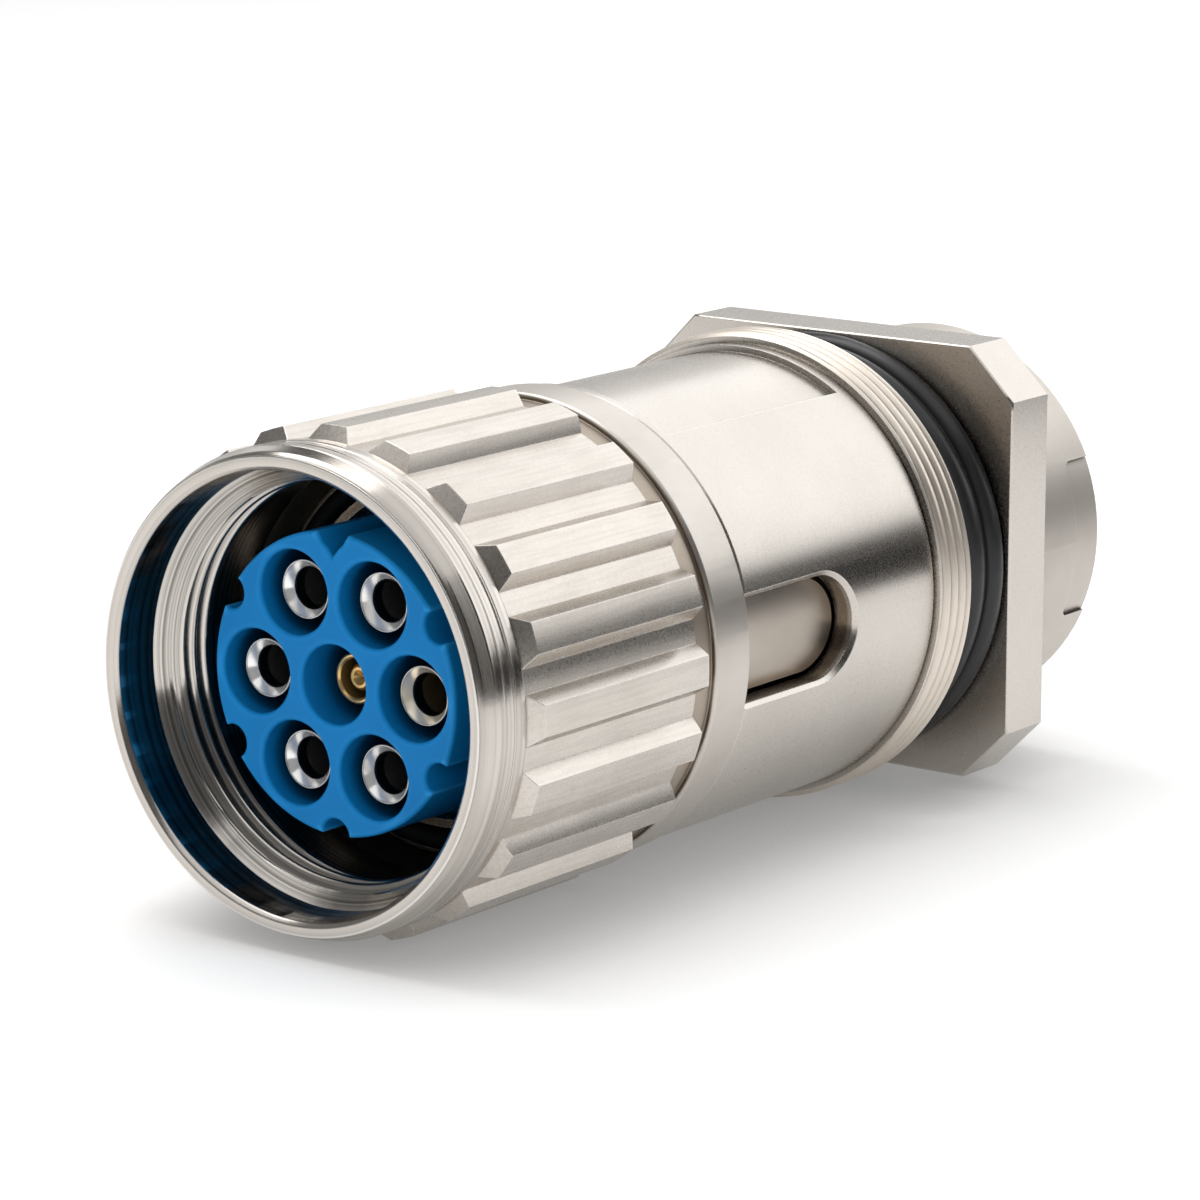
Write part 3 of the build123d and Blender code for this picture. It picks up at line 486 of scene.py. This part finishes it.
def makeNut(look):
    low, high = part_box("coupling_nut")
    rim, rear = low[1] / mm, high[1] / mm
    ribFront = rim + look["noseLength"]
    ribRear = ribFront + look["ribLength"]
    threadFront = rim + look["mouthDepth"]
    threadRear = threadFront + look["threadLength"]
    angles, cap, rising = ribColumns(look)
    front = nutFront(look, rim, threadFront, ribFront)
    back = nutBack(look, ribRear, rear, threadRear)

    # the ribs start with a slope from the flutes' floor to the crest, in proportion to the height gone up
    slopeRadii = look["ribRadius"] - look["ribHeight"] * np.linspace(1, 0, look["flankSteps"] + 1)
    slopeStart = look["noseRadius"] - look["edge"]
    slopeShare = (slopeRadii - slopeStart) / (look["ribRadius"] - slopeStart)
    slope = np.c_[ribFront + look["ribSlope"] * slopeShare, slopeRadii]
    crestPlaces = np.linspace(slope[-1, 0], ribRear, look["crestPoints"])[1:]
    crest = np.c_[crestPlaces, np.full(len(crestPlaces), look["ribRadius"])]
    bore = np.linspace(threadRear, threadFront, look["threadRows"])[1:-1]
    y = np.concatenate([front[:, 0], slope[:, 0], crest[:, 0], back[:, 0], bore])[:, None]
    boreRadii = np.full(len(bore), look["threadRadius"])
    r = np.concatenate([front[:, 1], slope[:, 1], crest[:, 1], back[:, 1], boreRadii])
    r = np.repeat(r[:, None], len(angles), axis=1)

    # flutes take away what stands above them between the rib's front and rear
    groove = len(front) + len(slope) + len(crest)
    r[len(front):groove] = np.minimum(r[len(front):groove], cap)
    # thread ridges stand in from the bore, no further than the lead-in cone, and run out at the rear
    inside = y[-len(bore):]
    runOut = threadFront + look["threadTurns"] * look["pitch"]
    height = look["threadDepth"] * np.clip((runOut - inside) / (look["runOutTurns"] * look["pitch"]), 0, 1)
    ridged = look["threadRadius"] - height * threadRidge(inside, angles, look["pitch"], look["crestPower"])
    leadInSlope = (look["mouthRadius"] - look["threadRadius"]) / look["leadInLength"]
    leadIn = look["mouthRadius"] - (inside - threadFront) * leadInSlope
    r[-len(bore):] = np.maximum(ridged, np.minimum(leadIn, look["mouthRadius"]))

    points, faces = turnedSurface(y, r, angles, rising)
    nut = meshObject("couplingNut", points * mm, faces, materials["turnedNickel"])
    # the ribs are milled, the groove behind them has painted shade in a darker, browner nickel,
    # the collar is dull, the mouth and its thread bright
    for name in ("milledNickel", "grooveNickel", "softNickel", "mouthNickel"):
        nut.data.materials.append(materials[name])
    turned, milled, shadedBrown, dull, bright = range(5)
    mouthEnd, grooveEnd = look["mouthRows"], groove + look["grooveRows"]
    starts = [mouthEnd, len(front) - 1, groove - 1, grooveEnd, groove + len(back) - 1]
    span = np.searchsorted(starts, np.arange(len(r)), side="right")
    finish = np.array([bright, turned, milled, shadedBrown, dull, bright])[span]
    nut.data.polygons.foreach_set("material_index", np.repeat(finish, len(angles) * 2).astype(np.int32))
    keepFlatsFlat(nut)
    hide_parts("coupling_nut")
    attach(nut, "coupling_nut")


# flange housing: thread, neck, square flange with cut corners, hub; lengths in mm, angles in degrees

housingLook = {
    "spigotFront": -13.2, "spigotRadius": 12.0, "sealPlace": -9.5, "sealHalf": 0.45, "grooveRadius": 11.2,
    "boreRadius": 10.05, "boreSeam": 0.02,
    "threadFront": -8.55, "threadRear": -5.6, "threadRadius": 14.15, "threadDepth": 0.34, "threadRows": 56,
    "pitch": 0.80, "crestPower": 0.3, "leadIn": 0.30, "leadOut": 0.2,
    "neckRadius": 12.2, "neckSeam": 0.001,     # the seams part rows that would coincide
    "filletLength": 0.25, "filletHeight": 0.2,
    "halfSide": 13.2, "cornerCut": 3.1, "thickness": 4.0, "break": 0.10,
    "hubRadius": 10.9, "hubRear": 10.35, "edge": 0.15, "round": 0.06,
    "columnAngle": 2.0, "cornerGap": 0.7,     # even columns, left out where a corner's own column is nearer
}


def flangeColumns(look):
    # a column at each corner of the cut square and even ones between. The square's outline along an angle is
    # the nearest of four sides and four cuts, each at its distance divided by the cosine of the angle to it.
    short = look["halfSide"] - look["cornerCut"]
    corner = np.degrees(np.arctan2([short, look["halfSide"]], [look["halfSide"], short]))
    corners = (np.arange(4)[:, None] * 90 + corner).ravel()
    even = np.arange(0, 360, look["columnAngle"])
    even = even[np.abs(even[:, None] - corners).min(axis=1) > look["cornerGap"]]
    angles = np.radians(np.sort(np.concatenate([even, corners])))
    away = angles[:, None] - np.arange(4) * np.pi / 2
    tiny = 1e-6     # for the sides that face away
    reachSide = look["halfSide"] / np.maximum(np.cos(away), tiny)
    reachCut = (look["halfSide"] + short) / math.sqrt(2) / np.maximum(np.cos(away - np.pi / 4), tiny)
    return angles, np.minimum(reachSide.min(axis=1), reachCut.min(axis=1))


def makeHousing(look):
    soft, edge, spigot, bore = look["round"], look["edge"], look["spigotRadius"], look["boreRadius"]
    sealFront, sealRear = look["sealPlace"] - look["sealHalf"], look["sealPlace"] + look["sealHalf"]
    front = softOutline([
        (look["spigotFront"], bore, 0), (look["spigotFront"], spigot - edge, soft),
        (look["spigotFront"] + edge, spigot, soft), (sealFront, spigot, soft),
        (sealFront, look["grooveRadius"], soft), (sealRear, look["grooveRadius"], soft),
        (sealRear, spigot, soft), (look["threadFront"], spigot, 0)])
    thread = np.linspace(look["threadFront"], look["threadRear"], look["threadRows"])
    neck = softOutline([
        (look["threadRear"] + look["neckSeam"], look["neckRadius"], 0),
        (-look["filletLength"], look["neckRadius"], look["filletHeight"]),
        (0, look["neckRadius"] + look["filletHeight"], 0)])
    # place of each row of the plate, and how far the row stands in from the square's outline
    thickness, edgeBreak = look["thickness"], look["break"]
    plate = np.array([(0, edgeBreak), (edgeBreak, 0), (thickness - edgeBreak, 0), (thickness, edgeBreak)])
    hub = softOutline([
        (thickness, look["hubRadius"], 0), (look["hubRear"] - edge, look["hubRadius"], soft),
        (look["hubRear"], look["hubRadius"] - edge, soft), (look["hubRear"], bore, soft),
        (look["spigotFront"] + look["boreSeam"], bore, 0)])

    # ridges of the thread, cut down at both ends to the lead-in and lead-out
    angles, outline = flangeColumns(look)
    power, top = look["crestPower"], look["threadRadius"]
    ridges = top - look["threadDepth"] * (1 - threadRidge(thread[:, None], angles, look["pitch"], power))
    ends = np.minimum(thread - look["threadFront"], look["threadRear"] - thread + look["leadOut"])
    ridges = np.minimum(ridges, (top - look["leadIn"] + ends)[:, None])
    y = np.concatenate([front[:, 0], thread, neck[:, 0], plate[:, 0], hub[:, 0]])[:, None]
    frontRadii, neckRadii, hubRadii = (part[:, 1:] * np.ones(len(angles)) for part in (front, neck, hub))
    r = np.concatenate([frontRadii, ridges, neckRadii, outline - plate[:, 1:], hubRadii])
    points, faces = turnedSurface(y, r, angles)
    housing = meshObject("flangeHousing", points * mm, faces, materials["satinNickel"])
    housing.data.materials.append(materials["threadNickel"])
    row = np.repeat(np.arange(len(y)), len(angles))
    cut = (row >= len(front)) & (row < len(front) + len(thread))
    housing.data.polygons.foreach_set("material_index", cut.astype(np.int32))
    keepFlatsFlat(housing)
    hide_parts("flange_housing")
    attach(housing, "housing")


# contact mouths: the countersunk rims that sit in the six contacts; lengths in mm

mouthLook = {
    "count": 6, "forward": 0.005,     # ahead of the contact's own face
    "depth": 1.3, "boreRadius": 1.165, "rearRadius": 1.325,
    "coneDepth": 0.50, "stepHeight": 0.03, "stepLength": 0.10, "stepSlope": 0.02,
    "rimRadius": 1.61, "rimWidth": 0.04, "rimDrop": 0.02, "sideStep": 0.03, "sideLength": 0.10,
    "fineRound": 0.01, "boreRound": 0.02, "coneRound": 0.03,
    "columns": 64, "boreRows": 9,     # rows of the outline that take the bore's painted shade
}


def makeContactMouths(look):
    # a thin ring of revolution per contact: row i, column j is (cx + r cos a, y, cz + r sin a) for the
    # outline's (y, r), from the bore's end up its step and cone to the rim, and back along the outer side
    low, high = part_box("socket_contact_1")
    rim = low[1] / mm - look["forward"]
    circle = (low[0] + high[0]) / 2 / mm
    bore, cone, fine = look["boreRadius"], rim + look["coneDepth"], look["fineRound"]
    outline = softOutline([
        (rim + look["depth"], bore, 0),
        (cone + look["stepLength"] + look["stepSlope"], bore, look["boreRound"]),
        (cone + look["stepLength"], bore + look["stepHeight"], fine),
        (cone, bore + look["stepHeight"], look["boreRound"]),
        (rim + look["rimDrop"], look["rimRadius"] - look["rimWidth"], look["coneRound"]),
        (rim, look["rimRadius"], fine),
        (rim + look["sideLength"], look["rimRadius"] + look["sideStep"], fine),
        (rim + look["depth"], look["rearRadius"], 0)])
    angles = np.linspace(0, 2 * np.pi, look["columns"], endpoint=False)
    r = np.repeat(outline[:, 1:], len(angles), axis=1)
    ring, faces = turnedSurface(outline[:, :1], r, angles)
    count = look["count"]
    around = 2 * np.pi * np.arange(count) / count
    shift = circle * np.stack([np.cos(around), 0 * around, np.sin(around)], axis=1)
    points = (ring[None] + shift[:, None]).reshape(-1, 3)
    faces = (faces[None] + len(ring) * np.arange(count)[:, None, None]).reshape(-1, 4)
    mouths = meshObject("contactMouths", points * mm, faces, materials["mouthSilver"])
    # the bores get painted shade, and the first contact's mouth is golden
    mouths.data.materials.append(materials["borePaintedShade"])
    mouths.data.materials.append(materials["mouthGolden"])
    row = np.tile(np.repeat(np.arange(len(outline)), len(angles)), count)
    golden = np.repeat(np.arange(count) == 0, len(outline) * len(angles))
    finish = np.where(row < look["boreRows"], 1, 2 * golden)
    mouths.data.polygons.foreach_set("material_index", finish.astype(np.int32))
    keepFlatsFlat(mouths)
    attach(mouths, "housing")


makeNut(nutLook)
makeHousing(housingLook)
makeContactMouths(mouthLook)
print("nut, housing and contact mouths made")


# stage: floor, world, lamps, dark cards and tents, camera; lengths in metres, angles in degrees

stageLook = {
    "floorHeight": -14.17 * mm, "floorHalf": 1.6, "floorColour": (0.92, 0.92, 0.92, 1),
    "floorRoughness": 0.9, "floorGlow": 0.22, "contactShadowColour": (0.40, 0.40, 0.39, 1),
    "contactReach": 7 * mm, "contactRange": (0.25, 0.95), "contactSamples": 8, "worldDiffuse": 0.60,
}
middle = np.array([0, -20, 0]) * mm
softboxes = {
    "backSoftbox": {
        "place": (0.087, 0.409, 0.280), "width": 0.78, "height": 0.34, "power": 0.58,
        "colour": (0.98, 1.0, 1.02), "mirrored": True},
    "topSoftbox": {
        "place": (-0.20, -0.02, 0.48), "width": 0.36, "height": 0.36, "power": 1.1,
        "colour": (1.0, 0.99, 0.98), "mirrored": True},
    "frontSoftbox": {
        "place": (-0.25, -0.45, 0.16), "width": 0.22, "height": 0.22, "power": 0.20,
        "colour": (1.0, 0.99, 0.98), "mirrored": False},
    "fillSoftbox": {
        "place": (0.30, -0.40, 0.14), "width": 0.24, "height": 0.24, "power": 0.65,
        "colour": (1.0, 0.99, 0.98), "mirrored": False},
}
darkCards = {
    "horizonFlag": {
        "place": (0.085, 0.090, 0.0095), "target": (0.0, -0.01, 0.0095), "width": 0.20, "height": 0.038,
        "shade": 0.02},
    "leftFlag": {
        "place": (-0.30, 0.36, 0.08), "target": (0.0, -0.02, 0.0), "width": 0.30, "height": 0.14,
        "shade": 0.60},
}
darkTents = {
    "rightTent": {"reach": 0.42, "around": (74, 112), "heights": (-4, 47), "shade": 0.02},
    "frontRightTent": {"reach": 0.42, "around": (112, 175), "heights": (-4, 42), "shade": 0.12},
    "frontTent": {"reach": 0.42, "around": (175, 285), "heights": (-4, 46), "shade": 0.22},
    "upperLeftTent": {"reach": 0.43, "around": (280, 318), "heights": (33, 58), "shade": 0.05},
}
tentColumns, tentRows = 49, 9


def makeFloor(look):
    half = look["floorHalf"]
    corners = np.array([(-half, -half), (half, -half), (half, half), (-half, half)])
    points = np.c_[corners, np.full(4, look["floorHeight"])]
    material, tree, shader = newMaterial("paleFloor")
    # painted shadow: close under the object the floor is darker
    nearby = openness(tree, look["contactReach"], look["contactSamples"])
    share = mapRange(tree, nearby, *look["contactRange"], 0.0, 1.0)
    shade = mixColours(tree, share, look["contactShadowColour"], look["floorColour"])
    feed(tree, shader.inputs, {
        "Base Color": shade, "Roughness": look["floorRoughness"], "Specular IOR Level": 0.0})
    # a faint glow, which the camera and reflections see and which lights nothing
    strength = mapRange(tree, seenDirectly(tree), 0, 1, 0, look["floorGlow"])
    glow = addNode(tree, "ShaderNodeEmission", {"Strength": strength})[0]
    both = addNode(tree, "ShaderNodeAddShader", {0: shader.outputs[0], 1: glow})[0]
    feed(tree, tree.nodes["Material Output"].inputs, {"Surface": both})
    floor = meshObject("floor", points, np.array([[0, 1, 2, 3]]), material, smooth=False)


def makeWorld(look):
    # white where it is seen, dimmer where it lights something
    world = bpy.data.worlds.new("studio")
    bpy.context.scene.world = world
    world.use_nodes = True
    tree = world.node_tree
    strength = mapRange(tree, seenDirectly(tree), 0, 1, look["worldDiffuse"], 1)
    feed(tree, tree.nodes["Background"].inputs, {"Color": (1, 1, 1, 1), "Strength": strength})


def placed(place, side, up, back):
    # the matrix of an object that stands at a place with its X, Y and Z axes along side, up and back
    turn = Matrix(np.c_[side, up, back].tolist()).to_4x4()
    turn.translation = place
    return turn


def aimAt(place, target):
    # turns an object's -Z axis from its place towards a target, +Y up
    back = np.array(place, float) - np.array(target, float)
    back /= np.linalg.norm(back)
    side = np.cross((0, 0, 1), back)
    side /= np.linalg.norm(side)
    return placed(place, side, np.cross(back, side), back)


def areaLamp(name, look):
    lamp = bpy.data.lights.new(name, "AREA")
    lamp.shape = "RECTANGLE"
    lamp.size = look["width"]
    lamp.size_y = look["height"]
    lamp.energy = look["power"]
    lamp.color = look["colour"]
    holder = bpy.data.objects.new(name, lamp)
    bpy.context.scene.collection.objects.link(holder)
    holder.matrix_world = aimAt(look["place"], middle)
    holder.visible_camera = False
    holder.visible_glossy = look["mirrored"]


def flatShade(name, shade):
    # an even grey that shines nowhere
    material, tree, shader = newMaterial(name)
    feed(tree, shader.inputs, {
        "Base Color": (shade, shade, shade, 1), "Roughness": 1.0, "Specular IOR Level": 0.0})
    return material


def onlyReflected(piece):
    # cards and tents show in reflections and nowhere else
    piece.visible_camera = False
    piece.visible_diffuse = False
    piece.visible_shadow = False
    piece.visible_transmission = False


def darkCard(name, look):
    width, height = look["width"], look["height"]
    corners = np.array([(-width, -height), (width, -height), (width, height), (-width, height)]) / 2
    turn = np.array(aimAt(look["place"], look["target"]))
    points = np.c_[corners, np.zeros(4), np.ones(4)] @ turn.T
    material = flatShade(name, look["shade"])
    card = meshObject(name, points[:, :3], np.array([[0, 1, 2, 3]]), material, smooth=False)
    onlyReflected(card)


def darkTent(name, look):
    # part of a dome: column j stands at the angle a from +Y towards +X and row i at the height e, at the
    # point middle + reach (sin a cos e, cos a cos e, sin e)
    a = np.radians(np.linspace(*look["around"], tentColumns))[None, :]
    e = np.radians(np.linspace(*look["heights"], tentRows))[:, None]
    points = np.stack([np.sin(a) * np.cos(e), np.cos(a) * np.cos(e), np.sin(e) + 0 * a], axis=2)
    points = middle + look["reach"] * points.reshape(-1, 3)
    here = (np.arange(tentRows - 1)[:, None] * tentColumns + np.arange(tentColumns - 1)[None, :]).ravel()
    faces = np.stack([here, here + 1, here + tentColumns + 1, here + tentColumns], axis=1)
    tent = meshObject(name, points, faces, flatShade(name, look["shade"]))
    onlyReflected(tent)


makeFloor(stageLook)
makeWorld(stageLook)
for name, look in softboxes.items():
    areaLamp(name, look)
for name, look in darkCards.items():
    darkCard(name, look)
for name, look in darkTents.items():
    darkTent(name, look)

# the camera looks at the mating face from the front right, a little from above
cameraSpot = {
    "place": np.array([158.65, -233.5, 58.65]) * mm,
    "right": (0.7985, 0.6020, 0.0), "up": (-0.1297, 0.1721, 0.9765), "back": (0.5879, -0.7798, 0.2155),
    "lens": 141.0, "sensor": 36.0, "nearest": 0.01, "farthest": 20.0,
}
lens = bpy.data.cameras.new("camera")
lens.lens = cameraSpot["lens"]
lens.sensor_width = cameraSpot["sensor"]
lens.clip_start = cameraSpot["nearest"]
lens.clip_end = cameraSpot["farthest"]
camera = bpy.data.objects.new("camera", lens)
bpy.context.scene.collection.objects.link(camera)
camera.matrix_world = placed(cameraSpot["place"], cameraSpot["right"], cameraSpot["up"], cameraSpot["back"])
bpy.context.scene.camera = camera
bpy.context.scene.view_settings.view_transform = "Standard"
print("stage set")
